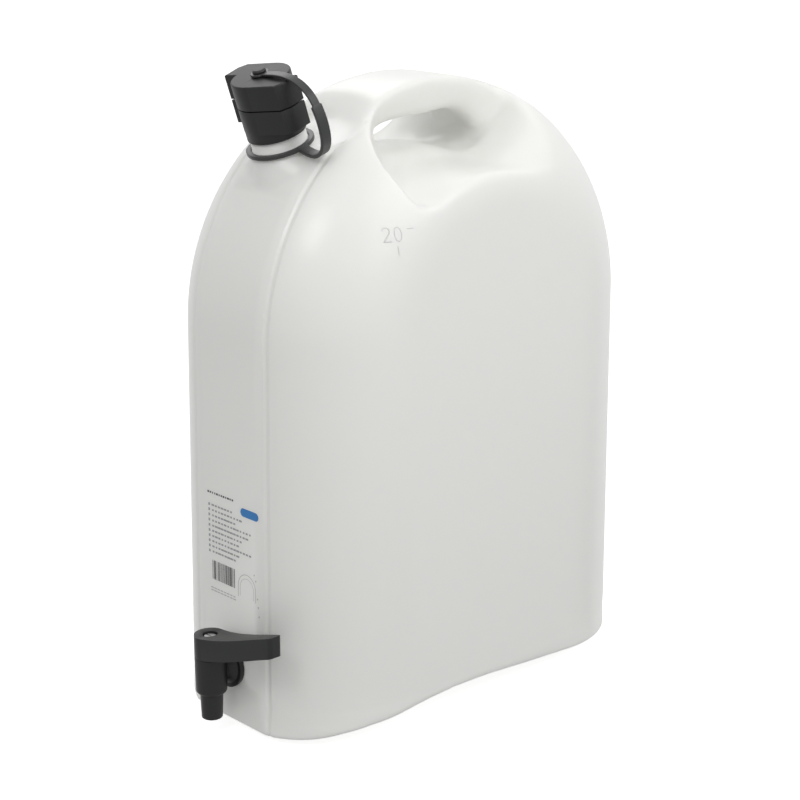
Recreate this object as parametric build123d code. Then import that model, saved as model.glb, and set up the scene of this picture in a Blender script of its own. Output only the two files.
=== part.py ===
from build123d import *
import math
import os

os.makedirs("parts", exist_ok=True)

# Tank shell
WALL = 2.4
TANK_HALF_WIDTH = 94.5
CORNER_R = 84.7
SPRING_Z = 280.0
ARCH_R = 169.8
BASE_HALF_LENGTH = 172.6
SIDE_ROUND = 32.0
END_ROUND = 16.0
ROUND_STEPS = 5

# Band that runs up both ends and over the grip, with a shallow groove on each side
BAND_HALF = 32.0
BAND_INSET = 3.4
GROOVE_X = 38.0
GROOVE_INSET = 5.7
RIDGE_X = 42.5

# Arch under the base, as points along the length with their heights
BASE_ARCH = (
    (-104.0, -1.0), (-90.0, 5.0), (-71.0, 16.0), (-47.0, 19.5), (-21.0, 18.8),
    (5.0, 16.5), (32.0, 13.0), (59.0, 10.0), (84.0, 6.0), (106.0, -1.0),
)

# Grip pockets: closed sections along the width, each a ring of (length, height) points
POCKET_SECTIONS = {
    0.0: ((-32.0, 417.0), (-42.0, 410.5), (-36.0, 403.5), (0.0, 399.0),
          (35.7, 392.3), (53.7, 404.5), (42.0, 417.0), (8.0, 425.0)),
    26.0: ((-45.0, 423.0), (-58.0, 411.0), (-50.0, 398.0), (0.0, 396.0),
           (30.0, 391.0), (50.0, 404.0), (40.0, 425.0), (4.0, 431.0)),
    37.0: ((-58.0, 440.0), (-68.0, 415.0), (-60.0, 391.0), (-10.0, 392.0),
           (27.4, 390.0), (50.0, 407.0), (62.0, 436.0), (0.0, 465.0)),
    55.0: ((-80.0, 440.0), (-83.0, 408.0), (-72.0, 384.0), (-25.0, 389.0),
           (23.0, 389.0), (49.0, 405.0), (66.0, 434.0), (-10.0, 475.0)),
    72.0: ((-84.0, 430.0), (-84.0, 395.0), (-75.0, 376.0), (-35.0, 385.0),
           (19.0, 388.0), (47.0, 397.0), (68.0, 418.0), (0.0, 475.0)),
    84.0: ((-79.0, 430.0), (-78.0, 386.0), (-72.0, 373.0), (-40.0, 381.0),
           (16.4, 387.0), (45.0, 387.0), (67.0, 393.0), (40.0, 475.0)),
    98.0: ((-74.0, 430.0), (-73.0, 376.0), (-64.0, 367.0), (-42.0, 378.0),
           (13.0, 386.5), (35.0, 377.0), (56.0, 376.0), (60.0, 475.0)),
}
POCKET_GROWTH = 2.8
POCKET_SHIFT = 2.0

# Neck, with heights along its own tilted axis
NECK_TILT = 19.0
NECK_Y = -117.4
NECK_Z = 408.1
SEAT_FLOOR = -4.0
SEAT_R = 47.0
SEAT_FLARE = 2.3
SEAT_HEIGHT = 20.0
BOSS_R = 22.0
BOSS_TOP = -1.4
BOSS_DEPTH = 32.0
NECK_R = 19.2
NECK_STEP = 7.9
NECK_THREAD_R = 17.4
NECK_TOP = 25.5
NECK_BORE_R = 14.5

# Spout, nut and cap
SEAL_THICK = 1.5
FLANGE_R = 17.0
FLANGE_THICK = 2.0
STUB_R = 12.6
STUB_TOP = 45.0
SPOUT_BORE_R = 9.8
THREAD_CLEARANCE = 0.3
NUT_BOTTOM = 8.7
WING_BOTTOM = 15.8
NUT_TOP = 32.1
SKIRT_R = 20.3
CAP_BOTTOM = 33.0
CAP_TOP = 50.0
CAP_SEAL_THICK = 1.3
GRIP_R = 20.5
GRIP_ROUND = 1.0
WING = ((-29.0, -7.5), (-30.2, 5.5), (-27.5, 12.5), (-7.5, 19.2), (0.0, 0.0))
STUD_R = 3.0
STUD_HEAD_R = 4.6
STUD_NECK_HEIGHT = 2.4
STUD_HEAD_HEIGHT = 1.8
STUD_HEAD_ROUND = 1.4

# Strap
STRAP_RING_IN_R = 19.9
STRAP_RING_OUT_R = 23.5
STRAP_RING_HALF = 1.35
STRAP_LOW_PATH = (
    (22.0, 0.2), (29.3, -2.4), (39.5, -2.6), (46.5, 2.5), (50.6, 13.4), (50.9, 25.0), (49.4, 33.5),
)
STRAP_HIGH_PATH = ((49.8, 31.0), (47.5, 39.0), (39.6, 47.4), (27.0, 51.7), (12.0, 51.9), (4.6, 51.2))
STRAP_LOW_THICK = 2.4
STRAP_LOW_WIDTH = 8.0
STRAP_HIGH_THICK = 1.6
STRAP_HIGH_WIDTH = 6.0
EYELET_IN_R = 3.3
EYELET_OUT_R = 6.4
EYELET_THICK = 1.6
EYELET_LIFT = 0.4

# Outlet in the front wall
OUTLET_Z = 48.0
PAD_R = 17.0
PAD_THICK = 0.3
PAD_Y = -169.2
OUTLET_BOSS_R = 14.0
OUTLET_DEPTH = 17.0
STEM_R = 9.0
STEM_CLEARANCE = 0.1

# Tap
TAP_REACH = 17.2
GASKET_THICK = 1.5
GASKET_R = 15.4
TAP_FLANGE_R = 16.0
TAP_FLANGE_THICK = 2.5
COLLAR_R = 13.2
COLLAR_END_R = 8.6
COLLAR_LENGTH = 3.6
BARREL_R = 11.4
BARREL_LOW_R = 10.9
BARREL_BOTTOM = 32.0
BARREL_TOP = 58.8
BARREL_ROUND = 2.5
NOZZLE_R = 8.2
NOZZLE_TIP_R = 7.4
NOZZLE_TIP_ROUND = 1.0
NOZZLE_BOTTOM = 13.0
NOZZLE_BORE_R = 5.2
PLUG_BORE_R = 8.6
PLUG_SEAT_Z = 36.0
PLUG_R = 8.4
PLUG_BOTTOM = 36.4
PLUG_PORT_R = 5.0
PLUG_CEILING = 54.0
PLUG_STEM_R = 5.6
PLUG_STEM_TOP = 67.0
RING_MAJOR_R = 7.65
RING_MINOR_R = 0.9
RING_HEIGHTS = {"plug_ring_lower": 39.6, "plug_ring_upper": 56.2}
LEVER_BOTTOM = 59.0
LEVER_TOP = 75.0
LEVER_LENGTH = 71.0
LEVER_END_HALF = 5.0
LEVER_END_ROUND = 3.0
LEVER_RISE = ((0.0, 0.0), (20.0, 4.0), (45.0, 11.7), (71.0, 20.4))
LEVER_END_DROP = 1.2
LEVER_WELL_R = 5.4
LEVER_WELL_Z = 70.5
SCREW_HEAD_R = 4.2
SCREW_HEAD_HEIGHT = 2.0
SCREW_SHAFT_R = 1.9
SCREW_LENGTH = 13.0
SCREW_SLOT = 1.0

# Everything is shifted so that the middle of the whole length lies on the origin
TAP_Y = PAD_Y - TAP_REACH
SHIFT_Y = (BARREL_R - TAP_Y - (BASE_HALF_LENGTH - BAND_INSET)) / 2
FRAME = Pos(0, SHIFT_Y, 0)


def plan_points(half_length, side_inset, end_inset):
    """Points of half a plan outline, on the side towards the rear, from right to left."""
    half_width = TANK_HALF_WIDTH - side_inset
    flat = TANK_HALF_WIDTH - CORNER_R
    end = half_length - end_inset
    side_r = half_width - flat
    end_r = CORNER_R - end_inset
    centre = end - end_r

    def corner(angle):
        return flat + side_r * math.cos(angle), centre + end_r * math.sin(angle)

    ridge = math.acos((RIDGE_X - flat) / side_r)
    right = [
        (half_width, centre),
        corner(ridge / 2),
        corner(ridge),
        (GROOVE_X, end - GROOVE_INSET),
        (BAND_HALF, end - BAND_INSET),
    ]
    return right + [(-x, y) for x, y in reversed(right)]


def half_edges(points):
    p = points
    return [
        ThreePointArc(p[0], p[1], p[2]),
        Line(p[2], p[3]),
        Line(p[3], p[4]),
        Line(p[4], p[5]),
        Line(p[5], p[6]),
        Line(p[6], p[7]),
        ThreePointArc(p[7], p[8], p[9]),
    ]


def whole_plan(half_length, side_inset, end_inset):
    rear = plan_points(half_length, side_inset, end_inset)
    front = [(-x, -y) for x, y in rear]
    sides = [Line(rear[-1], front[0]), Line(front[-1], rear[0])]
    return make_face(half_edges(rear) + half_edges(front) + sides)


def rear_plan(half_length, inset):
    rear = plan_points(half_length, inset, inset)
    right, left = rear[0], rear[-1]
    rest = Polyline(left, (left[0], 0), (right[0], 0), right)
    return make_face(half_edges(rear) + rest.edges())


def tank_body(inset):
    """The trunk on its rounded base, with the arch turned over it."""
    side_round = SIDE_ROUND - inset
    end_round = END_ROUND - inset
    levels = []
    for step in range(ROUND_STEPS + 1):
        angle = math.radians(90 * step / ROUND_STEPS)
        height = side_round * (1 - math.cos(angle))
        side_inset = inset + side_round * (1 - math.sin(angle))
        end_inset = inset + end_round * (1 - math.sin(angle))
        lean = (BASE_HALF_LENGTH - ARCH_R) * height / SPRING_Z
        plan = whole_plan(BASE_HALF_LENGTH - lean, side_inset, end_inset)
        levels.append(Pos(0, 0, inset + height) * plan)
    top = Pos(0, 0, SPRING_Z) * whole_plan(ARCH_R, inset, inset)
    trunk = loft(levels, ruled=True) + loft([levels[-1], top], ruled=True)
    arch = revolve(Pos(0, 0, SPRING_Z) * rear_plan(ARCH_R, inset), Axis((0, 0, SPRING_Z), (1, 0, 0)), 180)
    return trunk + arch


def grown(points, growth):
    """A ring of points pushed outwards along its own normals."""
    count = len(points)
    out = []
    for i, (y, z) in enumerate(points):
        before = points[i - 1]
        after = points[(i + 1) % count]
        along = (after[0] - before[0], after[1] - before[1])
        length = math.hypot(*along)
        out.append((y + growth * along[1] / length, z - growth * along[0] / length))
    return out


def pocket_section(x, points, growth, shift):
    ring = grown(points, growth) if growth else points
    place = x - math.copysign(shift, x) if x else x
    spline = Edge.make_spline([Vector(place, y, z) for y, z in ring], periodic=True)
    return Face(Wire([spline]))


def grip_pockets(growth, shift):
    """The two pockets and the gap under the grip, as one solid across the whole width."""
    right = list(POCKET_SECTIONS.items())
    left = [(-x, points) for x, points in reversed(right) if x]
    return loft([pocket_section(x, points, growth, shift) for x, points in left + right])


def base_arch(growth):
    low = -SIDE_ROUND
    line = Spline(*[(y, z + growth) for y, z in BASE_ARCH])
    front, rear = BASE_ARCH[0], BASE_ARCH[-1]
    front_top = (front[0], front[1] + growth)
    rear_top = (rear[0], rear[1] + growth)
    rest = Polyline(front_top, (front[0], low), (rear[0], low), rear_top)
    face = make_face([line] + rest.edges())
    return extrude(Plane.YZ * face, TANK_HALF_WIDTH + WALL, both=True)


NECK = Plane(
    origin=(0, NECK_Y, NECK_Z),
    x_dir=(1, 0, 0),
    z_dir=(0, -math.sin(math.radians(NECK_TILT)), math.cos(math.radians(NECK_TILT))),
).location


def disc(radius, bottom, top):
    return Pos(0, 0, bottom) * extrude(Circle(radius), top - bottom)


def tube(outer_r, inner_r, bottom, top):
    return disc(outer_r, bottom, top) - disc(inner_r, bottom, top)


def neck_seat(growth):
    """The hollow around the neck, flat at its floor and flared towards the grip."""
    low_r = SEAT_R + growth
    high_r = low_r + SEAT_FLARE * SEAT_HEIGHT
    flare = Cone(low_r, high_r, SEAT_HEIGHT, align=(Align.CENTER, Align.CENTER, Align.MIN))
    return NECK * Pos(0, 0, SEAT_FLOOR - growth) * flare


def build_tank():
    seat = neck_seat(0)
    outer = tank_body(0) - grip_pockets(0, 0) - seat - base_arch(0)
    hollow = tank_body(WALL) - grip_pockets(POCKET_GROWTH, POCKET_SHIFT) - neck_seat(WALL) - base_arch(WALL)
    boss = NECK * disc(BOSS_R, -BOSS_DEPTH, BOSS_TOP) - hollow
    collar = NECK * disc(NECK_R, -2 * WALL, NECK_STEP)
    neck = NECK * disc(NECK_THREAD_R, BOSS_TOP, NECK_TOP)
    toward_rear = Location((0, PAD_Y, OUTLET_Z), (-90, 0, 0))
    pad = toward_rear * disc(PAD_R, 0, WALL + GASKET_THICK)
    outlet = toward_rear * disc(OUTLET_BOSS_R, PAD_THICK, OUTLET_DEPTH)
    bore = NECK * disc(NECK_BORE_R, -2 * BOSS_DEPTH, NECK_TOP + WALL)
    hole = toward_rear * disc(STEM_R + STEM_CLEARANCE, -WALL, OUTLET_DEPTH + WALL)
    return outer - hollow + boss + (collar + neck) + pad + outlet - bore - hole


def wing_plan():
    wing = make_face(Polyline(*WING, close=True))
    return Circle(GRIP_R) + wing + Rot(0, 0, 180) * wing


def build_neck_seal():
    return NECK * tube(FLANGE_R, NECK_BORE_R, NECK_TOP, NECK_TOP + SEAL_THICK)


def build_spout_insert():
    flange_bottom = NECK_TOP + SEAL_THICK
    flange_top = flange_bottom + FLANGE_THICK
    solid = disc(FLANGE_R, flange_bottom, flange_top) + disc(STUB_R, flange_top, STUB_TOP)
    return NECK * (solid - disc(SPOUT_BORE_R, flange_bottom, STUB_TOP))


def build_spout_nut():
    grip = Pos(0, 0, WING_BOTTOM) * extrude(wing_plan(), NUT_TOP - WING_BOTTOM)
    solid = grip + disc(SKIRT_R, NUT_BOTTOM, WING_BOTTOM)
    thread = disc(NECK_THREAD_R + THREAD_CLEARANCE, NUT_BOTTOM, NECK_TOP + SEAL_THICK + FLANGE_THICK)
    return NECK * (solid - thread - disc(STUB_R + THREAD_CLEARANCE, NUT_BOTTOM, NUT_TOP))


def build_cap():
    grip = Pos(0, 0, CAP_BOTTOM) * extrude(wing_plan(), CAP_TOP - CAP_BOTTOM)
    grip = fillet(grip.faces().sort_by(Axis.Z)[-1].edges(), GRIP_ROUND)
    head_bottom = CAP_TOP + STUD_NECK_HEIGHT
    stud = disc(STUD_R, CAP_TOP, head_bottom)
    head = disc(STUD_HEAD_R, head_bottom, head_bottom + STUD_HEAD_HEIGHT)
    head = fillet(head.faces().sort_by(Axis.Z)[-1].edges(), STUD_HEAD_ROUND)
    bore = disc(STUB_R + THREAD_CLEARANCE, CAP_BOTTOM, STUB_TOP + CAP_SEAL_THICK)
    return NECK * (grip + stud + head - bore)


def build_cap_seal():
    return NECK * disc(STUB_R, STUB_TOP, STUB_TOP + CAP_SEAL_THICK)


def strap_run(path, thickness, width):
    """A flat strip that follows a path in the plane of the neck's axis."""
    middle = Spline(*path)
    sides = ([], [])
    steps = 4 * len(path)
    for i in range(steps + 1):
        place = middle @ (i / steps)
        along = middle % (i / steps)
        for points, side in zip(sides, (0.5, -0.5)):
            reach = side * thickness
            points.append((place.X - reach * along.Y, place.Y + reach * along.X))
    near, far = sides
    face = make_face([Spline(*near), Line(near[-1], far[-1]), Spline(*far), Line(far[0], near[0])])
    return extrude(Plane.XZ * face, width / 2, both=True)


def build_cap_strap():
    ring = tube(STRAP_RING_OUT_R, STRAP_RING_IN_R, -STRAP_RING_HALF, STRAP_RING_HALF)
    low = strap_run(STRAP_LOW_PATH, STRAP_LOW_THICK, STRAP_LOW_WIDTH)
    high = strap_run(STRAP_HIGH_PATH, STRAP_HIGH_THICK, STRAP_HIGH_WIDTH)
    eyelet_bottom = CAP_TOP + EYELET_LIFT
    eyelet_top = eyelet_bottom + EYELET_THICK
    eyelet = disc(EYELET_OUT_R, eyelet_bottom, eyelet_top)
    ring_hole = disc(STRAP_RING_IN_R, -STRAP_LOW_WIDTH, STRAP_LOW_WIDTH)
    eyelet_hole = disc(EYELET_IN_R, eyelet_bottom - EYELET_LIFT, eyelet_top + EYELET_THICK)
    return NECK * (ring + low + high + eyelet - ring_hole - eyelet_hole)


def build_tap_gasket():
    return Location((0, PAD_Y, OUTLET_Z), (90, 0, 0)) * tube(GASKET_R, STEM_R + STEM_CLEARANCE, 0, GASKET_THICK)


def build_tap_body():
    flange_back = GASKET_THICK
    flange_front = GASKET_THICK + TAP_FLANGE_THICK
    collar = Pos(0, 0, flange_front) * loft([Circle(COLLAR_R), Pos(0, 0, COLLAR_LENGTH) * Circle(COLLAR_END_R)])
    branch = disc(TAP_FLANGE_R, flange_back, flange_front) + collar
    branch += disc(COLLAR_END_R, flange_front, TAP_REACH)
    branch += disc(STEM_R, -OUTLET_DEPTH, flange_back)
    port = disc(NOZZLE_BORE_R, -OUTLET_DEPTH, TAP_REACH)
    toward_front = Location((0, PAD_Y, OUTLET_Z), (90, 0, 0))
    barrel = loft([Pos(0, 0, BARREL_BOTTOM) * Circle(BARREL_LOW_R), Pos(0, 0, BARREL_TOP) * Circle(BARREL_R)])
    barrel = fillet(barrel.faces().sort_by(Axis.Z)[0].edges(), BARREL_ROUND)
    nozzle_top = BARREL_BOTTOM + BARREL_ROUND
    nozzle = loft([Pos(0, 0, NOZZLE_BOTTOM) * Circle(NOZZLE_TIP_R), Pos(0, 0, nozzle_top) * Circle(NOZZLE_R)])
    nozzle = fillet(nozzle.faces().sort_by(Axis.Z)[0].edges(), NOZZLE_TIP_ROUND)
    bores = disc(PLUG_BORE_R, PLUG_SEAT_Z, BARREL_TOP) + disc(NOZZLE_BORE_R, NOZZLE_BOTTOM, BARREL_TOP)
    axis = Pos(0, TAP_Y, 0)
    return axis * (barrel + nozzle) + toward_front * branch - axis * bores - toward_front * port


def plug_ring(height):
    return Pos(0, TAP_Y, height) * Torus(RING_MAJOR_R, RING_MINOR_R)


def build_tap_plug():
    solid = disc(PLUG_R, PLUG_BOTTOM, BARREL_TOP) + disc(PLUG_STEM_R, BARREL_TOP, PLUG_STEM_TOP)
    side_port = Location((0, 0, OUTLET_Z), (0, -90, 0)) * disc(PLUG_PORT_R, 0, PLUG_R)
    inside = disc(NOZZLE_BORE_R, PLUG_BOTTOM, PLUG_CEILING) + side_port
    pilot = disc(SCREW_SHAFT_R, LEVER_WELL_Z - SCREW_LENGTH, PLUG_STEM_TOP)
    plug = Pos(0, TAP_Y, 0) * (solid - inside - pilot)
    for height in RING_HEIGHTS.values():
        plug -= plug_ring(height)
    return plug


def build_tap_lever():
    boss = disc(BARREL_R, LEVER_BOTTOM, LEVER_TOP)
    near = (0, BARREL_R)
    far = (LEVER_LENGTH, LEVER_END_HALF)
    plan = make_face(Polyline((near[0], -near[1]), (far[0], -far[1]), far, near, close=True))
    plan = fillet(plan.vertices().group_by(Axis.X)[-1], LEVER_END_ROUND)
    top = Spline(*[(x, LEVER_TOP + rise) for x, rise in LEVER_RISE])
    drop = LEVER_END_DROP / LEVER_LENGTH
    bottom = Spline(*[(x, LEVER_BOTTOM + rise + drop * x) for x, rise in LEVER_RISE])
    sides = [Line(bottom @ 0, top @ 0), Line(bottom @ 1, top @ 1)]
    profile = make_face([top, bottom] + sides)
    above_barrel = Pos(0, 0, LEVER_BOTTOM) * extrude(plan, LEVER_TOP)
    arm = extrude(Plane.XZ * profile, BARREL_R, both=True) & above_barrel
    well = disc(LEVER_WELL_R, LEVER_WELL_Z, LEVER_TOP + LEVER_LENGTH)
    socket = disc(PLUG_STEM_R, LEVER_BOTTOM, PLUG_STEM_TOP)
    hole = disc(SCREW_SHAFT_R, LEVER_BOTTOM, LEVER_TOP)
    return Pos(0, TAP_Y, 0) * (boss + arm - well - socket - hole)


def build_lever_screw():
    head = disc(SCREW_HEAD_R, LEVER_WELL_Z, LEVER_WELL_Z + SCREW_HEAD_HEIGHT)
    shaft = disc(SCREW_SHAFT_R, LEVER_WELL_Z - SCREW_LENGTH, LEVER_WELL_Z)
    slot = Pos(0, 0, LEVER_WELL_Z + SCREW_HEAD_HEIGHT) * Box(2 * SCREW_HEAD_R, SCREW_SLOT, SCREW_HEAD_HEIGHT)
    return Pos(0, TAP_Y, 0) * (head + shaft - slot)


NODES = {
    "tank": build_tank,
    "neck_seal": build_neck_seal,
    "spout_insert": build_spout_insert,
    "spout_nut": build_spout_nut,
    "cap": build_cap,
    "cap_seal": build_cap_seal,
    "cap_strap": build_cap_strap,
    "tap_gasket": build_tap_gasket,
    "tap_body": build_tap_body,
    "tap_plug": build_tap_plug,
    "tap_lever": build_tap_lever,
    "lever_screw": build_lever_screw,
}

for name, build in NODES.items():
    export_step(FRAME * build(), f"parts/{name}.step")

for name, height in RING_HEIGHTS.items():
    export_step(FRAME * plug_ring(height), f"parts/{name}.step")
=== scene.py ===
import math

import bmesh
import bpy
import numpy as np
from bpy.props import FloatProperty, FloatVectorProperty, IntProperty, PointerProperty
from mathutils import Matrix, Vector
from mathutils.bvhtree import BVHTree


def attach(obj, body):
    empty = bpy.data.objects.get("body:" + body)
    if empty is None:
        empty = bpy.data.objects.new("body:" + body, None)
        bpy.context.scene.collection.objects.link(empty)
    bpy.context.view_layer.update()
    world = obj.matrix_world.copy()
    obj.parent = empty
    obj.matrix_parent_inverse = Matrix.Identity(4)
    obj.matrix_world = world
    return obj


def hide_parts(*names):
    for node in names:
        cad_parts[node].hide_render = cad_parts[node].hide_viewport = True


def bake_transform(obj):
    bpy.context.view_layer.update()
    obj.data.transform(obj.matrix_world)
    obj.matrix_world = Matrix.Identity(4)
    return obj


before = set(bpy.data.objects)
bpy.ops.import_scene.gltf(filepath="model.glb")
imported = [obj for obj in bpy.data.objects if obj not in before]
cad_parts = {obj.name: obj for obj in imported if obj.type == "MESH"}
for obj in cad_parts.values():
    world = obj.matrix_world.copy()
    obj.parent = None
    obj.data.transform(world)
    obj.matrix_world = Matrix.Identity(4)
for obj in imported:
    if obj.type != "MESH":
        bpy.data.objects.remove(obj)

bl_info = {
    "name": "Water carrier",
    "version": (1, 0, 0),
    "blender": (4, 5, 0),
    "location": "View3D > Sidebar > Carrier",
    "description": "Finishes a translucent water carrier with its spout, strap and lever tap",
    "category": "Object",
}

MM = 0.001

# Frame of the tilted neck
NECK_ORIGIN = Vector((0.0, -103.1, 408.1)) * MM
NECK_TILT = math.radians(19.0)
NECK_AXIS = Vector((0.0, -math.sin(NECK_TILT), math.cos(NECK_TILT)))

# Plugs that close the neck and the outlet while the skin is made: radius, start and end along the bore
NECK_PLUG = (15.6 * MM, -6.0 * MM, 6.0 * MM)
OUTLET_ORIGIN = Vector((0.0, -154.6 * MM, 48.0 * MM))
OUTLET_AXIS = Vector((0.0, 1.0, 0.0))
OUTLET_PLUG = (10.4 * MM, 2.0 * MM, 14.0 * MM)

# Groove on each side of the band that runs round the ends and over the top
GROOVE_X = 38.0 * MM
GROOVE_HALF = 2.6 * MM
GROOVE_REACH = 2.5 * MM

# Outer face of the ends: flat middle, round corners and a slight lean up to the spring of the arch
BODY_MIDDLE_Y = 14.3 * MM
SPRING_Z = 280.0 * MM
BODY_FLAT = 9.8 * MM
CORNER_R = 84.7 * MM
BODY_END = 169.8 * MM
BODY_LEAN = 0.01

# Base: height and insets of the CAD shell's rounding, which the skin replaces by a firm lower edge
BASE_HEIGHT = 32.0 * MM
BASE_SIDE_INSET = 32.0 * MM
BASE_END_INSET = 16.0 * MM
BASE_HALF_WIDTH = 94.5 * MM
BASE_HALF_LENGTH = 172.6 * MM

# Lower edge of the walls, as (place along the tank, height) in millimetres
BASE_EDGE = (
    (-156.0, 4.5), (-138.0, 5.0), (-127.0, 7.5), (-116.0, 11.0), (-100.0, 14.8), (-60.0, 19.3),
    (-24.0, 21.0), (10.0, 20.0), (52.0, 16.6), (100.0, 13.2), (186.0, 11.0),
)

# Grip, whose edges are rounded more than the rest of the skin: where the rounding starts and is full
GRIP_HEIGHTS = (345.0 * MM, 400.0 * MM)
GRIP_MIDDLE_Y = 14.0 * MM
GRIP_REACH = (95.0 * MM, 70.0 * MM)

# Front band, whose plane leans back a little as it rises
BAND_FOOT_Y = -154.9 * MM
BAND_LEAN = 0.01

# Print on the front band: left, right, bottom and top of each field, in millimetres
TITLE_FIELD = (-24.0, 5.0, 168.0, 170.2)
PILL_FIELD = (12.4, 31.6, 160.4, 166.4)
SQUARES_FIELD = (-23.0, -21.2, 124.0, 162.0)
TEXT_FIELD = (-19.6, 24.0, 124.0, 162.0)
BARS_FIELD = (-19.5, 5.5, 105.5, 119.5)
SMALL_FIELD = (-21.5, 10.0, 96.0, 100.0)
ARCH_FIELD = (9.0, 28.0, 101.0, 119.0)
WINDOW_FIELD = (11.2, 25.8, 102.0, 116.0)
ARCH_LINE = 0.45
WINDOW_LINE = 0.3
DRAWING_DOTS = ((26.5, 121.0), (28.2, 117.0), (30.0, 104.5), (30.6, 98.5), (31.4, 92.0))
DOT_HALF = 0.55

# Distance by which the print stands off the band
PRINT_LIFT = 0.06 * MM

# Height by which the screw's head stands nearer the top of its well than in the CAD model
SCREW_LIFT = 1.5 * MM

# Moulded level mark on the shoulder, as strokes of (length, height) from its low left corner, in millimetres
MARK_CORNER = (-87.5, 351.6)
MARK_STROKES = (
    (
        (0.3, 7.2), (1.0, 8.6), (2.7, 9.2), (4.4, 8.5), (5.0, 6.9), (4.2, 5.0), (2.0, 2.4), (0.2, 0.2),
        (5.4, 0.2),
    ),
    (
        (10.4, 0.0), (8.6, 1.0), (7.9, 4.6), (8.6, 8.2), (10.4, 9.2), (12.2, 8.2), (12.9, 4.6), (12.2, 1.0),
        (10.4, 0.0),
    ),
    ((17.2, 7.6), (21.6, 7.6)),
    ((9.0, -3.2), (9.0, -9.0)),
)
MARK_RADIUS = 0.7 * MM
MARK_SINK = 0.75 * MARK_RADIUS
MARK_STEP = 0.8
MARK_RAY_X = 0.3

# Width of the rounded edges on the smaller pieces
SPOUT_ROUND = 0.3 * MM
SEAL_ROUND = 0.2 * MM
TAP_BODY_ROUND = 0.4 * MM
PLUG_ROUND = 0.2 * MM
SCREW_ROUND = 0.15 * MM
ROUND_SEGMENTS = 3

# Angles in degrees: faces that count as flat, edges that are rounded, and edges that stay sharp in the
# shading of the dark parts and of the tank
FLAT_ANGLE = 0.4
ROUND_ANGLE = 28.0
SHARP_ANGLE = 40.0
TANK_SHARP_ANGLE = 32.0

# Strap: cell and smoothing of its skin
STRAP_CELL = 0.35 * MM
STRAP_SMOOTHING = 3

# Roughness of each finish
TANK_ROUGHNESS = 0.3
CLOSURE_ROUGHNESS = 0.48
STRAP_ROUGHNESS = 0.36
TAP_ROUGHNESS = 0.42
INK_ROUGHNESS = 0.45
SEAL_ROUGHNESS = 0.7
RING_ROUGHNESS = 0.6
STEEL_ROUGHNESS = 0.28

# Stage: half the side of its planes, place and turn of the backdrop, glow of both planes, and the
# strength of the sky from straight below to straight above
PLANE_HALF = 30.0
BACKDROP_PLACE = (-14.0, 14.0, 0.0)
BACKDROP_TURN = math.radians(45)
FLOOR_GLOW = 0.6
BACKDROP_GLOW = 1.0
SKY_STRENGTH = (0.47, 0.7)

# Lights: name, setting of their power, side, place and target
LIGHTS = (
    ("Key", "key_power", 0.9, (1.0, 0.1, 0.95), (0.05, 0.0, 0.3)),
    ("Top", "top_power", 0.7, (0.1, 0.1, 1.35), (0.0, 0.0, 0.3)),
    ("Front", "front_power", 0.35, (0.4, -1.05, 1.15), (0.05, -0.1, 0.35)),
    ("Back", "back_power", 0.6, (-0.85, 0.4, 1.2), (0.0, -0.1, 0.42)),
)

# Camera: place, then azimuth, elevation and roll in degrees, lens in millimetres and shift of the frame
CAMERA_PLACE = Vector((982.8, -922.4, 608.9)) * MM
CAMERA_ANGLES = (46.28, 15.35, 0.22)
CAMERA_LENS = 86.466
CAMERA_SHIFT = (-0.01224, -0.04968)

PICTURE_SIDE = 800
SAMPLES = 96
BOUNCES = 8


# Settings


def settings(context):
    """The carrier's settings, kept on the scene."""
    return context.scene.carrier


class CarrierSettings(bpy.types.PropertyGroup):
    skin_voxel: FloatProperty(
        name="Skin cell", description="Cell size of the tank's skin", default=1.5 * MM, unit="LENGTH"
    )
    skin_smoothing: IntProperty(
        name="Skin smoothing", description="Passes that soften the moulded edges", default=6, min=0
    )
    grip_smoothing: IntProperty(
        name="Grip smoothing", description="Passes that round the grip into a tube", default=90, min=0
    )
    skin_triangles: IntProperty(
        name="Skin triangles", description="Most triangles the tank's skin may keep", default=170000, min=1000
    )
    base_smoothing: IntProperty(
        name="Base smoothing", description="Passes that soften the lower edge of the walls", default=10, min=0
    )
    normal_smoothing: IntProperty(
        name="Shading smoothing", description="Passes that soften the skin's shading", default=4, min=0
    )
    groove_depth: FloatProperty(
        name="Groove depth",
        description="Depth of the grooves beside the band",
        default=0.9 * MM,
        unit="LENGTH",
    )
    edge_round: FloatProperty(
        name="Edge rounding", description="Bevel on the dark moulded parts", default=0.55 * MM, unit="LENGTH"
    )
    print_seed: IntProperty(name="Print seed", description="Seed of the words and bars", default=7)
    tank_color: FloatVectorProperty(
        name="Tank colour",
        description="Colour of the tank's plastic",
        default=(0.84, 0.84, 0.815),
        subtype="COLOR",
    )
    dark_color: FloatVectorProperty(
        name="Dark colour",
        description="Colour of the closure and the tap",
        default=(0.012, 0.0125, 0.0125),
        subtype="COLOR",
    )
    key_power: FloatProperty(
        name="Key light", description="Power of the large light over the wide side", default=5.0, unit="POWER"
    )
    top_power: FloatProperty(
        name="Top light", description="Power of the light above the grip", default=0.7, unit="POWER"
    )
    back_power: FloatProperty(
        name="Back light",
        description="Power of the light that the cap's top mirrors",
        default=1.7,
        unit="POWER",
    )
    front_power: FloatProperty(
        name="Front light", description="Power of the light above the front end", default=2.6, unit="POWER"
    )


# Meshes


def link(name, mesh):
    obj = bpy.data.objects.new(name, mesh)
    bpy.context.scene.collection.objects.link(obj)
    return obj


def from_bmesh(name, bm):
    mesh = bpy.data.meshes.new(name)
    bm.to_mesh(mesh)
    bm.free()
    return link(name, mesh)


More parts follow.
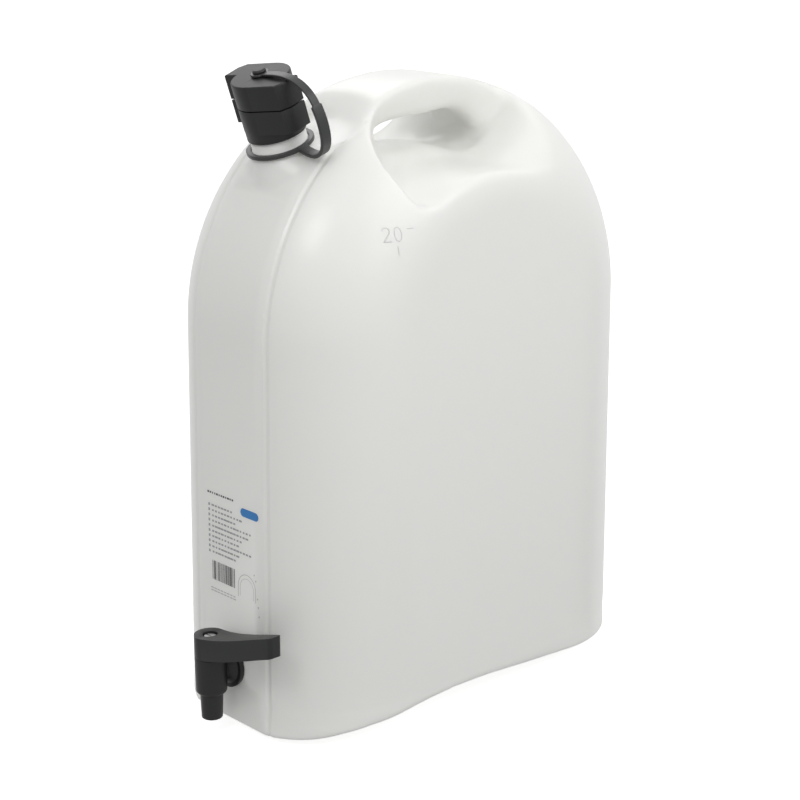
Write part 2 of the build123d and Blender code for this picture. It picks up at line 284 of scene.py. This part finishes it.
def node_bmesh(node):
    """The CAD node's surface in the row frame, with its seams joined."""
    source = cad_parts[node]
    bm = bmesh.new()
    bm.from_mesh(source.data)
    bm.transform(source.matrix_world)
    bmesh.ops.remove_doubles(bm, verts=bm.verts, dist=0.002 * MM)
    return bm


def plain(obj):
    """The object with its modifiers turned into a plain mesh."""
    depsgraph = bpy.context.evaluated_depsgraph_get()
    evaluated = obj.evaluated_get(depsgraph)
    mesh = bpy.data.meshes.new_from_object(evaluated, preserve_all_data_layers=True, depsgraph=depsgraph)
    obj.modifiers.clear()
    old = obj.data
    obj.data = mesh
    mesh.name = obj.name
    bpy.data.meshes.remove(old)
    return obj


def shade(obj, degrees):
    """Smooth shading, with the edges past the angle left sharp."""
    mesh = obj.data
    mesh.shade_smooth()
    mesh.set_sharp_from_angle(angle=math.radians(degrees))


def set_material(obj, material):
    obj.data.materials.clear()
    obj.data.materials.append(material)


def add_smoothing(obj, passes, group=""):
    smooth = obj.modifiers.new("Smooth", "SMOOTH")
    smooth.factor = 0.5
    smooth.iterations = passes
    smooth.vertex_group = group


def remeshed(obj, cell, passes):
    """The object turned into one even skin, softened by some passes of smoothing."""
    remesh = obj.modifiers.new("Remesh", "REMESH")
    remesh.mode = "VOXEL"
    remesh.voxel_size = cell
    add_smoothing(obj, passes)
    return plain(obj)


def bevelled(node, name, width, material):
    """A copy of a CAD node with its sharp edges rounded."""
    bm = node_bmesh(node)
    bmesh.ops.dissolve_limit(bm, angle_limit=math.radians(FLAT_ANGLE), verts=bm.verts, edges=bm.edges)
    obj = from_bmesh(name, bm)
    bevel = obj.modifiers.new("Bevel", "BEVEL")
    bevel.width = width
    bevel.segments = ROUND_SEGMENTS
    bevel.limit_method = "ANGLE"
    bevel.angle_limit = math.radians(ROUND_ANGLE)
    plain(obj)
    shade(obj, SHARP_ANGLE)
    set_material(obj, material)
    return obj


def stand_for(obj, body, *nodes):
    """Shows the object in place of the CAD nodes and lets it move with their body."""
    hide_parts(*nodes)
    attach(obj, body)


# Materials


def principled(name, color, roughness, extra=()):
    """A plain material, with any further sockets given by name."""
    material = bpy.data.materials.new(name)
    material.use_nodes = True
    shader = material.node_tree.nodes["Principled BSDF"]
    shader.inputs["Base Color"].default_value = (*color, 1.0)
    shader.inputs["Roughness"].default_value = roughness
    for socket, value in dict(extra).items():
        shader.inputs[socket].default_value = value
    return material


def add_grain(material, scale, detail, strength, distance):
    """A bump from noise in object coordinates, chained after any earlier one."""
    tree = material.node_tree
    shader = tree.nodes["Principled BSDF"]
    coordinates = tree.nodes.new("ShaderNodeTexCoord")
    noise = tree.nodes.new("ShaderNodeTexNoise")
    bump = tree.nodes.new("ShaderNodeBump")
    noise.inputs["Scale"].default_value = scale
    noise.inputs["Detail"].default_value = detail
    bump.inputs["Strength"].default_value = strength
    bump.inputs["Distance"].default_value = distance
    normal = shader.inputs["Normal"]
    if normal.is_linked:
        tree.links.new(normal.links[0].from_socket, bump.inputs["Normal"])
    tree.links.new(coordinates.outputs["Object"], noise.inputs["Vector"])
    tree.links.new(noise.outputs["Fac"], bump.inputs["Height"])
    tree.links.new(bump.outputs["Normal"], normal)
    return material


def tank_plastic(color):
    extra = {
        "Subsurface Weight": 0.35,
        "Subsurface Radius": (1.0, 0.98, 0.9),
        "Subsurface Scale": 0.012,
        "Specular IOR Level": 0.5,
    }
    material = principled("Translucent plastic", color, TANK_ROUGHNESS, extra)
    add_grain(material, scale=9.0, detail=1.0, strength=0.25, distance=1.6 * MM)
    return add_grain(material, scale=420.0, detail=2.0, strength=0.06, distance=0.3 * MM)


def dark_plastic(name, color, roughness):
    material = principled(name, color, roughness, {"Specular IOR Level": 0.5})
    return add_grain(material, scale=900.0, detail=2.0, strength=0.18, distance=0.1 * MM)


def ink(name, color):
    return principled(name, color, INK_ROUGHNESS)


# Print fields


def print_group():
    """Quads in columns and rows, each as wide as a random value, with ragged row ends."""
    group = bpy.data.node_groups.new("Print field", "GeometryNodeTree")
    face = group.interface
    face.new_socket("Geometry", in_out="OUTPUT", socket_type="NodeSocketGeometry")
    specs = (
        ("Columns", "NodeSocketInt", 8),
        ("Rows", "NodeSocketInt", 4),
        ("Column Pitch", "NodeSocketFloat", 0.004),
        ("Row Pitch", "NodeSocketFloat", 0.003),
        ("Narrowest", "NodeSocketFloat", 0.5),
        ("Widest", "NodeSocketFloat", 0.9),
        ("Height", "NodeSocketFloat", 0.001),
        ("Shortest Row", "NodeSocketFloat", 0.5),
        ("Seed", "NodeSocketInt", 0),
        ("Material", "NodeSocketMaterial", None),
    )
    for name, kind, value in specs:
        socket = face.new_socket(name, in_out="INPUT", socket_type=kind)
        if value is not None:
            socket.default_value = value
    nodes, links = group.nodes, group.links

    def add(kind, **values):
        node = nodes.new(kind)
        for key, value in values.items():
            setattr(node, key, value)
        return node

    def feed(node, values):
        for socket, value in zip(node.inputs, values):
            if isinstance(value, (int, float)):
                socket.default_value = value
            else:
                links.new(value, socket)
        return node.outputs[0]

    def math_node(operation, first, second):
        return feed(add("ShaderNodeMath", operation=operation), (first, second))

    def join(x, y, z):
        return feed(add("ShaderNodeCombineXYZ"), (x, y, z))

    given = add("NodeGroupInput").outputs
    index = add("GeometryNodeInputIndex").outputs[0]
    count = math_node("MULTIPLY", given["Columns"], given["Rows"])
    points = add("GeometryNodePoints")
    links.new(count, points.inputs["Count"])
    column = math_node("FLOORED_MODULO", index, given["Columns"])
    row = math_node("FLOOR", math_node("DIVIDE", index, given["Columns"]), 0.0)
    across = math_node("MULTIPLY", column, given["Column Pitch"])
    upward = math_node("MULTIPLY", row, given["Row Pitch"])
    links.new(join(across, 0.0, upward), points.inputs["Position"])
    # Of a random value's sockets, 2 and 3 are the least and the greatest float, and 1 is the float it gives
    row_end = add("FunctionNodeRandomValue", data_type="FLOAT")
    links.new(given["Shortest Row"], row_end.inputs[2])
    row_end.inputs[3].default_value = 1.0
    links.new(row, row_end.inputs["ID"])
    links.new(given["Seed"], row_end.inputs["Seed"])
    reach = math_node("MULTIPLY", row_end.outputs[1], given["Columns"])
    beyond = math_node("GREATER_THAN", math_node("ADD", column, 0.5), reach)
    cut = add("GeometryNodeDeleteGeometry", domain="POINT")
    links.new(points.outputs[0], cut.inputs["Geometry"])
    links.new(beyond, cut.inputs["Selection"])
    width = add("FunctionNodeRandomValue", data_type="FLOAT")
    links.new(given["Narrowest"], width.inputs[2])
    links.new(given["Widest"], width.inputs[3])
    links.new(given["Seed"], width.inputs["Seed"])
    quad = add("GeometryNodeMeshGrid")
    quad.inputs["Size X"].default_value = 1.0
    quad.inputs["Size Y"].default_value = 1.0
    quad.inputs["Vertices X"].default_value = 2
    quad.inputs["Vertices Y"].default_value = 2
    upright = add("GeometryNodeTransform")
    upright.inputs["Rotation"].default_value = (math.pi / 2, 0.0, 0.0)
    links.new(quad.outputs["Mesh"], upright.inputs["Geometry"])
    spread = add("GeometryNodeInstanceOnPoints")
    links.new(cut.outputs[0], spread.inputs["Points"])
    links.new(upright.outputs[0], spread.inputs["Instance"])
    wide = math_node("MULTIPLY", width.outputs[1], given["Column Pitch"])
    links.new(join(wide, 1.0, given["Height"]), spread.inputs["Scale"])
    real = add("GeometryNodeRealizeInstances")
    links.new(spread.outputs[0], real.inputs[0])
    paint = add("GeometryNodeSetMaterial")
    links.new(real.outputs[0], paint.inputs["Geometry"])
    links.new(given["Material"], paint.inputs["Material"])
    links.new(paint.outputs[0], add("NodeGroupOutput").inputs[0])
    return group


def band_y(z):
    """Where the print lies at a height, along the tank."""
    return BAND_FOOT_Y + BAND_LEAN * z - PRINT_LIFT


def lay_on_band(obj):
    """Moves the printed mesh, drawn in the X and Z directions, onto the leaning band."""
    for vertex in obj.data.vertices:
        vertex.co.y = band_y(vertex.co.z)
    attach(obj, "tank")


def print_field(
    group, name, field, columns, rows, material, seed, fill=(0.6, 0.95), height=0.55, shortest=1.0
):
    """Fills a field of the band with rows of small printed blocks."""
    left, right, bottom, top = (value * MM for value in field)
    obj = link(name, bpy.data.meshes.new(name))
    modifier = obj.modifiers.new("Print", "NODES")
    modifier.node_group = group
    column_pitch = (right - left) / columns
    row_pitch = (top - bottom) / rows
    values = {
        "Columns": columns,
        "Rows": rows,
        "Column Pitch": column_pitch,
        "Row Pitch": row_pitch,
        "Narrowest": fill[0],
        "Widest": fill[1],
        "Height": row_pitch * height,
        "Shortest Row": shortest,
        "Seed": seed,
        "Material": material,
    }
    items = group.interface.items_tree
    sockets = {item.name: item.identifier for item in items if item.in_out == "INPUT"}
    for key, value in values.items():
        modifier[sockets[key]] = value
    plain(obj)
    start = Vector((left + column_pitch / 2, 0.0, bottom + row_pitch / 2))
    obj.data.transform(Matrix.Translation(start))
    lay_on_band(obj)
    return obj


def pill_points(field, steps=10):
    """The outline of a bar with round ends."""
    left, right, bottom, top = field
    radius = (top - bottom) / 2
    middle = (top + bottom) / 2
    points = []
    for centre, start in ((right - radius, -90), (left + radius, 90)):
        for i in range(steps + 1):
            angle = math.radians(start + 180 * i / steps)
            points.append((centre + radius * math.cos(angle), middle + radius * math.sin(angle)))
    return points


def flat_shape(name, rings, material):
    """Filled outlines, given as rings of (x, z) in millimetres."""
    bm = bmesh.new()
    for ring in rings:
        bm.faces.new([bm.verts.new((x * MM, 0.0, z * MM)) for x, z in ring])
    obj = from_bmesh(name, bm)
    set_material(obj, material)
    lay_on_band(obj)
    return obj


def box_points(x, z, half):
    return [(x - half, z - half), (x + half, z - half), (x + half, z + half), (x - half, z + half)]


def arch_outline(field, line, steps=14):
    """The quads of a line of the given width that goes up, round and down again."""
    left, right, bottom, top = field
    outer, inner = [], []
    radius = (right - left) / 2
    middle = (right + left) / 2
    spring = top - radius
    angles = [math.pi * i / steps for i in range(steps + 1)]
    for ring, inset in ((outer, 0.0), (inner, line)):
        ring.append((right - inset, bottom))
        for angle in angles:
            x = middle + (radius - inset) * math.cos(angle)
            ring.append((x, spring + (radius - inset) * math.sin(angle)))
        ring.append((left + inset, bottom))
    return [(outer[i], outer[i + 1], inner[i + 1], inner[i]) for i in range(len(outer) - 1)]


# Tank skin


def plug(bm, centre, axis, radius, start, end):
    """A cylinder that closes a bore, so that only the outer skin is kept."""
    turn = axis.to_track_quat("Z", "Y").to_matrix().to_4x4()
    middle = centre + axis * ((start + end) / 2)
    matrix = Matrix.Translation(middle) @ turn
    bmesh.ops.create_cone(
        bm, cap_ends=True, segments=48, radius1=radius, radius2=radius, depth=end - start, matrix=matrix
    )


def smooth_source():
    """The CAD tank with its own smooth shading, to take the skin's shading from."""
    obj = from_bmesh("skin_source", node_bmesh("tank"))
    shade(obj, TANK_SHARP_ANGLE)
    return obj


def build_skin(values):
    """The tank's outer surface as one even, softened mesh with its grooves."""
    source = smooth_source()
    bm = node_bmesh("tank")
    plug(bm, NECK_ORIGIN, NECK_AXIS, *NECK_PLUG)
    plug(bm, OUTLET_ORIGIN, OUTLET_AXIS, *OUTLET_PLUG)
    skin = remeshed(from_bmesh("tank_skin", bm), values.skin_voxel, values.skin_smoothing)
    shape_base(skin)
    soften(skin, grip_share(points_of(skin)), values.grip_smoothing)
    soften(skin, base_share(points_of(skin)), values.base_smoothing)
    triangles = sum(len(p.vertices) - 2 for p in skin.data.polygons)
    if triangles > values.skin_triangles:
        decimate = skin.modifiers.new("Decimate", "DECIMATE")
        decimate.ratio = values.skin_triangles / triangles
        plain(skin)
    skin.data.shade_smooth()
    normals = soft_normals(skin, source, values.normal_smoothing)
    cut_grooves(skin, normals, values.groove_depth)
    skin.data.normals_split_custom_set_from_vertices(normals.tolist())
    bpy.data.objects.remove(source)
    return skin


def points_of(skin):
    """The skin's points, as rows of an array."""
    places = np.empty(len(skin.data.vertices) * 3)
    skin.data.vertices.foreach_get("co", places)
    return places.reshape(-1, 3)


def ramp(values, start, full):
    """0 at start, 1 at full, with a smooth way between."""
    t = np.clip((values - start) / (full - start), 0.0, 1.0)
    return t * t * (3.0 - 2.0 * t)


def grip_share(places):
    """1 on the grip and 0 away from it."""
    along = np.abs(places[:, 1] - GRIP_MIDDLE_Y)
    return ramp(places[:, 2], *GRIP_HEIGHTS) * ramp(along, *GRIP_REACH)


def base_share(places):
    """1 at the base and 0 above its rounding."""
    return 1.0 - ramp(places[:, 2], BASE_HEIGHT, 1.5 * BASE_HEIGHT)


def soften(skin, share, passes):
    """Smooths the skin by each point's share."""
    group = skin.vertex_groups.new(name="share")
    for index in np.flatnonzero(share > 0.01):
        group.add([int(index)], float(share[index]), "REPLACE")
    add_smoothing(skin, passes, group.name)
    plain(skin)
    skin.vertex_groups.clear()


def shape_base(skin):
    """Draws the walls straight down to their lower edge, and slants the underside up to it."""
    places = points_of(skin)
    x, y, z = places.T
    edge = np.interp(y, *(np.array(BASE_EDGE).T * MM))
    rest = 1.0 - np.clip(z / BASE_HEIGHT, 0.0, 1.0)
    rounded = 1.0 - np.sqrt(1.0 - rest * rest)
    slanted = 1.0 - np.clip(z / edge, 0.0, 1.0)
    wide = BASE_HALF_WIDTH - BASE_SIDE_INSET * slanted
    long = BASE_HALF_LENGTH - BASE_END_INSET * slanted
    x *= wide / (BASE_HALF_WIDTH - BASE_SIDE_INSET * rounded)
    y[:] = BODY_MIDDLE_Y + (y - BODY_MIDDLE_Y) * (long / (BASE_HALF_LENGTH - BASE_END_INSET * rounded))
    skin.data.vertices.foreach_set("co", places.ravel())
    skin.data.update()


def body_depth(places):
    """How far each point lies under the tank's outer face, seen from the side."""
    x, y, z = np.abs(places[:, 0]), places[:, 1] - BODY_MIDDLE_Y, places[:, 2]
    across = np.clip(x - BODY_FLAT, 0.0, CORNER_R)
    reach = BODY_END - CORNER_R + np.sqrt(CORNER_R**2 - across**2)
    low = reach + BODY_LEAN * (SPRING_Z - z) - np.abs(y)
    high = reach - np.hypot(y, z - SPRING_Z)
    return np.where(z > SPRING_Z, high, low)


def unit(vectors):
    """Each row scaled to a length of 1."""
    return vectors / np.maximum(np.linalg.norm(vectors, axis=1, keepdims=True), 1e-9)


def cut_grooves(skin, normals, depth):
    """Sinks the two grooves into the skin and turns its shading to match."""
    places = points_of(skin)
    t = np.clip((np.abs(places[:, 0]) - GROOVE_X) / GROOVE_HALF, -1.0, 1.0)
    outside = np.abs(body_depth(places)) < GROOVE_REACH
    sink = np.where(outside, depth * (1.0 + np.cos(math.pi * t)) / 2.0, 0.0)
    slope = np.where(outside, depth * math.pi / (2.0 * GROOVE_HALF) * np.sin(math.pi * t), 0.0)
    places -= normals * sink[:, None]
    normals[:, 0] -= np.sign(places[:, 0]) * slope
    normals[:] = unit(normals)
    skin.data.vertices.foreach_set("co", places.ravel())


def soft_normals(skin, source, passes):
    """The CAD surface's own shading at each point of the skin, softened over its neighbours."""
    transfer = skin.modifiers.new("Shading", "DATA_TRANSFER")
    transfer.object = source
    transfer.use_loop_data = True
    transfer.data_types_loops = {"CUSTOM_NORMAL"}
    transfer.loop_mapping = "POLYINTERP_NEAREST"
    depsgraph = bpy.context.evaluated_depsgraph_get()
    shaded = skin.evaluated_get(depsgraph).to_mesh()
    corners = np.empty(len(shaded.loops) * 3, np.float32)
    shaded.corner_normals.foreach_get("vector", corners)
    owners = np.empty(len(shaded.loops), np.int64)
    shaded.loops.foreach_get("vertex_index", owners)
    skin.evaluated_get(depsgraph).to_mesh_clear()
    skin.modifiers.clear()
    count = len(skin.data.vertices)
    normals = np.zeros((count, 3))
    np.add.at(normals, owners, corners.reshape(-1, 3))
    normals = unit(normals)
    own = np.empty(count * 3)
    skin.data.vertices.foreach_get("normal", own)
    places = points_of(skin)
    share = np.maximum(grip_share(places), base_share(places))[:, None]
    normals = share * own.reshape(-1, 3) + (1.0 - share) * normals
    edges = np.empty(len(skin.data.edges) * 2, np.int64)
    skin.data.edges.foreach_get("vertices", edges)
    first, second = edges.reshape(-1, 2).T
    for _ in range(passes):
        normals = unit(normals)
        total = normals.copy()
        np.add.at(total, first, normals[second])
        np.add.at(total, second, normals[first])
        normals = total
    return unit(normals)


# Operators


class CARRIER_OT_tank(bpy.types.Operator):
    """Gives the tank a soft moulded skin"""

    bl_idname = "carrier.tank"
    bl_label = "Tank skin"

    def execute(self, context):
        values = settings(context)
        material = tank_plastic(values.tank_color)
        skin = build_skin(values)
        set_material(skin, material)
        stand_for(skin, "tank", "tank")
        return {"FINISHED"}


class CARRIER_OT_print(bpy.types.Operator):
    """Prints the plain fields of colour on the front band"""

    bl_idname = "carrier.print"
    bl_label = "Print"

    def execute(self, context):
        seed = settings(context).print_seed
        group = print_group()
        grey = ink("Grey print", (0.33, 0.34, 0.35))
        pale = ink("Pale print", (0.48, 0.49, 0.49))
        black = ink("Black print", (0.05, 0.05, 0.055))
        blue = ink("Blue print", (0.03, 0.2, 0.52))
        print_field(group, "print_title", TITLE_FIELD, 12, 1, black, seed, fill=(0.4, 0.9), height=0.62)
        print_field(
            group,
            "print_lines",
            TEXT_FIELD,
            13,
            10,
            grey,
            seed + 1,
            fill=(0.45, 1.0),
            height=0.34,
            shortest=0.5,
        )
        print_field(group, "print_squares", SQUARES_FIELD, 1, 10, grey, seed + 4, fill=(1.0, 1.0), height=0.5)
        print_field(group, "print_bars", BARS_FIELD, 26, 1, black, seed + 2, fill=(0.15, 0.85), height=1.0)
        print_field(group, "print_small", SMALL_FIELD, 9, 2, pale, seed + 3, height=0.35, shortest=0.7)
        flat_shape("print_pill", [pill_points(PILL_FIELD)], blue)
        outline = arch_outline(ARCH_FIELD, ARCH_LINE)
        window = arch_outline(WINDOW_FIELD, WINDOW_LINE)
        dots = [box_points(x, z, DOT_HALF) for x, z in DRAWING_DOTS]
        flat_shape("print_drawing", outline + window + dots, pale)
        return {"FINISHED"}


class CARRIER_OT_mark(bpy.types.Operator):
    """Raises the level mark on the shoulder"""

    bl_idname = "carrier.mark"
    bl_label = "Level mark"

    def execute(self, context):
        skin = bpy.data.objects["tank_skin"]
        mesh = skin.data
        tree = BVHTree.FromPolygons([v.co for v in mesh.vertices], [p.vertices for p in mesh.polygons])
        curve = bpy.data.curves.new("level_mark", "CURVE")
        curve.dimensions = "3D"
        curve.bevel_depth = MARK_RADIUS
        curve.bevel_resolution = 2
        curve.use_fill_caps = True
        for stroke in MARK_STROKES:
            points = [self.on_skin(tree, point) for point in self.spaced(stroke)]
            spline = curve.splines.new("POLY")
            spline.points.add(len(points) - 1)
            for point, co in zip(spline.points, points):
                point.co = (*co, 1.0)
        drawn = link("level_mark_curve", curve)
        depsgraph = context.evaluated_depsgraph_get()
        obj = link("level_mark", bpy.data.meshes.new_from_object(drawn.evaluated_get(depsgraph)))
        bpy.data.objects.remove(drawn)
        obj.data.shade_smooth()
        set_material(obj, skin.data.materials[0])
        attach(obj, "tank")
        return {"FINISHED"}

    def spaced(self, stroke):
        """The stroke with points added along it."""
        points = [stroke[0]]
        for start, end in zip(stroke, stroke[1:]):
            pieces = max(1, round(math.dist(start, end) / MARK_STEP))
            for i in range(1, pieces + 1):
                t = i / pieces
                points.append((start[0] + t * (end[0] - start[0]), start[1] + t * (end[1] - start[1])))
        return points

    def on_skin(self, tree, point):
        """The point laid on the wide side of the tank, sunk a little into it."""
        y = (MARK_CORNER[0] + point[0]) * MM
        z = (MARK_CORNER[1] + point[1]) * MM
        place, normal, _, _ = tree.ray_cast(Vector((MARK_RAY_X, y, z)), Vector((-1.0, 0.0, 0.0)))
        if place is None:
            raise RuntimeError("the level mark misses the tank")
        return place - normal * MARK_SINK


class CARRIER_OT_closure(bpy.types.Operator):
    """Finishes the spout, the nut, the cap and their seals"""

    bl_idname = "carrier.closure"
    bl_label = "Closure"

    def execute(self, context):
        values = settings(context)
        dark = dark_plastic("Closure plastic", values.dark_color, CLOSURE_ROUGHNESS)
        rubber = principled("Seal rubber", (0.03, 0.03, 0.03), SEAL_ROUGHNESS)
        stand_for(bevelled("cap", "closure_cap", values.edge_round, dark), "cap", "cap")
        stand_for(bevelled("spout_nut", "closure_nut", values.edge_round, dark), "nut", "spout_nut")
        stand_for(bevelled("spout_insert", "closure_spout", SPOUT_ROUND, dark), "spout", "spout_insert")
        stand_for(bevelled("neck_seal", "closure_neck_seal", SEAL_ROUND, rubber), "spout", "neck_seal")
        stand_for(bevelled("cap_seal", "closure_cap_seal", SEAL_ROUND, rubber), "cap", "cap_seal")
        return {"FINISHED"}


class CARRIER_OT_strap(bpy.types.Operator):
    """Gives the strap soft edges"""

    bl_idname = "carrier.strap"
    bl_label = "Strap"

    def execute(self, context):
        obj = remeshed(from_bmesh("strap_soft", node_bmesh("cap_strap")), STRAP_CELL, STRAP_SMOOTHING)
        obj.data.shade_smooth()
        set_material(obj, dark_plastic("Strap plastic", (0.035, 0.036, 0.036), STRAP_ROUGHNESS))
        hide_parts("cap_strap")
        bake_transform(obj)
        return {"FINISHED"}


class CARRIER_OT_tap(bpy.types.Operator):
    """Finishes the tap, its lever, its plug and its screw"""

    bl_idname = "carrier.tap"
    bl_label = "Tap"

    def execute(self, context):
        values = settings(context)
        dark = dark_plastic("Tap plastic", values.dark_color, TAP_ROUGHNESS)
        rubber = principled("Ring rubber", (0.02, 0.02, 0.02), RING_ROUGHNESS)
        steel = principled("Screw steel", (0.62, 0.62, 0.62), STEEL_ROUGHNESS, {"Metallic": 1.0})
        stand_for(bevelled("tap_body", "tap_barrel", TAP_BODY_ROUND, dark), "tank", "tap_body")
        stand_for(bevelled("tap_lever", "tap_handle", values.edge_round, dark), "lever", "tap_lever")
        stand_for(bevelled("tap_plug", "tap_core", PLUG_ROUND, dark), "lever", "tap_plug")
        screw = bevelled("lever_screw", "tap_screw", SCREW_ROUND, steel)
        screw.data.transform(Matrix.Translation((0.0, 0.0, SCREW_LIFT)))
        stand_for(screw, "lever", "lever_screw")
        stand_for(bevelled("tap_gasket", "tap_seal", SEAL_ROUND, rubber), "tank", "tap_gasket")
        for node in ("plug_ring_lower", "plug_ring_upper"):
            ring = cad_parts[node]
            set_material(ring, rubber)
            ring.data.shade_smooth()
        return {"FINISHED"}


class CARRIER_OT_stage(bpy.types.Operator):
    """Sets the floor, the lights and the camera"""

    bl_idname = "carrier.stage"
    bl_label = "Stage"

    def execute(self, context):
        values = settings(context)
        lying = Matrix.Identity(4)
        upright = Matrix.Rotation(BACKDROP_TURN, 4, "Z") @ Matrix.Rotation(math.radians(90), 4, "X")
        standing = Matrix.Translation(BACKDROP_PLACE) @ upright
        self.plane("Floor", (0.8, 0.8, 0.8), 0.9, FLOOR_GLOW, lying, mirrored=False)
        self.plane("Backdrop", (0.0, 0.0, 0.0), 1.0, BACKDROP_GLOW, standing, mirrored=True)
        for name, power, size, place, target in LIGHTS:
            self.area_light(name, getattr(values, power), size, place, target)
        self.place_camera(context.scene)
        self.render_settings(context.scene)
        return {"FINISHED"}

    def plane(self, name, color, roughness, glow, place, mirrored):
        """A large glowing plane that lights nothing, and that shows in mirror finishes if it is told to."""
        bm = bmesh.new()
        bmesh.ops.create_grid(bm, x_segments=1, y_segments=1, size=PLANE_HALF)
        bm.transform(place)
        obj = from_bmesh(name.lower(), bm)
        extra = {"Emission Color": (1.0, 1.0, 1.0, 1.0), "Emission Strength": glow}
        set_material(obj, principled(name, color, roughness, extra))
        obj.visible_diffuse = False
        obj.visible_glossy = mirrored

    def area_light(self, name, power, size, place, target):
        light = bpy.data.lights.new(name, "AREA")
        light.energy = power
        light.size = size
        obj = bpy.data.objects.new(name, light)
        obj.location = place
        obj.rotation_euler = (Vector(target) - Vector(place)).to_track_quat("-Z", "Y").to_euler()
        bpy.context.scene.collection.objects.link(obj)

    def place_camera(self, scene):
        azimuth, elevation, roll = (math.radians(value) for value in CAMERA_ANGLES)
        level = math.cos(elevation)
        back = Vector((math.sin(azimuth) * level, -math.cos(azimuth) * level, math.sin(elevation)))
        right = Vector((math.cos(azimuth), math.sin(azimuth), 0.0))
        up = back.cross(right)
        turn = Matrix((right, up, back)).transposed().to_4x4() @ Matrix.Rotation(roll, 4, "Z")
        camera = bpy.data.objects.new("Camera", bpy.data.cameras.new("Camera"))
        camera.matrix_world = Matrix.Translation(CAMERA_PLACE) @ turn
        camera.data.lens = CAMERA_LENS
        camera.data.sensor_width = 36.0
        camera.data.shift_x, camera.data.shift_y = CAMERA_SHIFT
        camera.data.clip_end = 100.0
        scene.collection.objects.link(camera)
        scene.camera = camera

    def render_settings(self, scene):
        scene.render.engine = "CYCLES"
        scene.render.resolution_x = PICTURE_SIDE
        scene.render.resolution_y = PICTURE_SIDE
        scene.render.resolution_percentage = 100
        scene.cycles.samples = SAMPLES
        scene.cycles.use_denoising = True
        scene.cycles.max_bounces = BOUNCES
        scene.view_settings.view_transform = "Standard"
        world = bpy.data.worlds.new("World")
        scene.world = world
        world.use_nodes = True
        tree = world.node_tree
        background = tree.nodes["Background"]
        background.inputs["Color"].default_value = (1.0, 1.0, 1.0, 1.0)
        coordinates = tree.nodes.new("ShaderNodeTexCoord")
        axes = tree.nodes.new("ShaderNodeSeparateXYZ")
        fall = tree.nodes.new("ShaderNodeMapRange")
        fall.inputs["From Min"].default_value = -1.0
        fall.inputs["To Min"].default_value, fall.inputs["To Max"].default_value = SKY_STRENGTH
        tree.links.new(coordinates.outputs["Generated"], axes.inputs["Vector"])
        tree.links.new(axes.outputs["Z"], fall.inputs["Value"])
        tree.links.new(fall.outputs["Result"], background.inputs["Strength"])


class CARRIER_PT_panel(bpy.types.Panel):
    """Steps and settings of the water carrier"""

    bl_idname = "CARRIER_PT_panel"
    bl_label = "Water carrier"
    bl_space_type = "VIEW_3D"
    bl_region_type = "UI"
    bl_category = "Carrier"

    def draw(self, context):
        layout = self.layout
        for name in CarrierSettings.__annotations__:
            layout.prop(settings(context), name)
        for operator in OPERATORS:
            layout.operator(operator.bl_idname)


OPERATORS = (
    CARRIER_OT_tank,
    CARRIER_OT_print,
    CARRIER_OT_mark,
    CARRIER_OT_closure,
    CARRIER_OT_strap,
    CARRIER_OT_tap,
    CARRIER_OT_stage,
)
CLASSES = (CarrierSettings, *OPERATORS, CARRIER_PT_panel)


def register():
    for item in CLASSES:
        bpy.utils.register_class(item)
    bpy.types.Scene.carrier = PointerProperty(type=CarrierSettings)


def unregister():
    del bpy.types.Scene.carrier
    for item in reversed(CLASSES):
        bpy.utils.unregister_class(item)


def main():
    register()
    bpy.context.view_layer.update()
    bpy.ops.carrier.tank()
    bpy.ops.carrier.print()
    bpy.ops.carrier.mark()
    bpy.ops.carrier.closure()
    bpy.ops.carrier.strap()
    bpy.ops.carrier.tap()
    bpy.ops.carrier.stage()


if __name__ == "__main__":
    main()
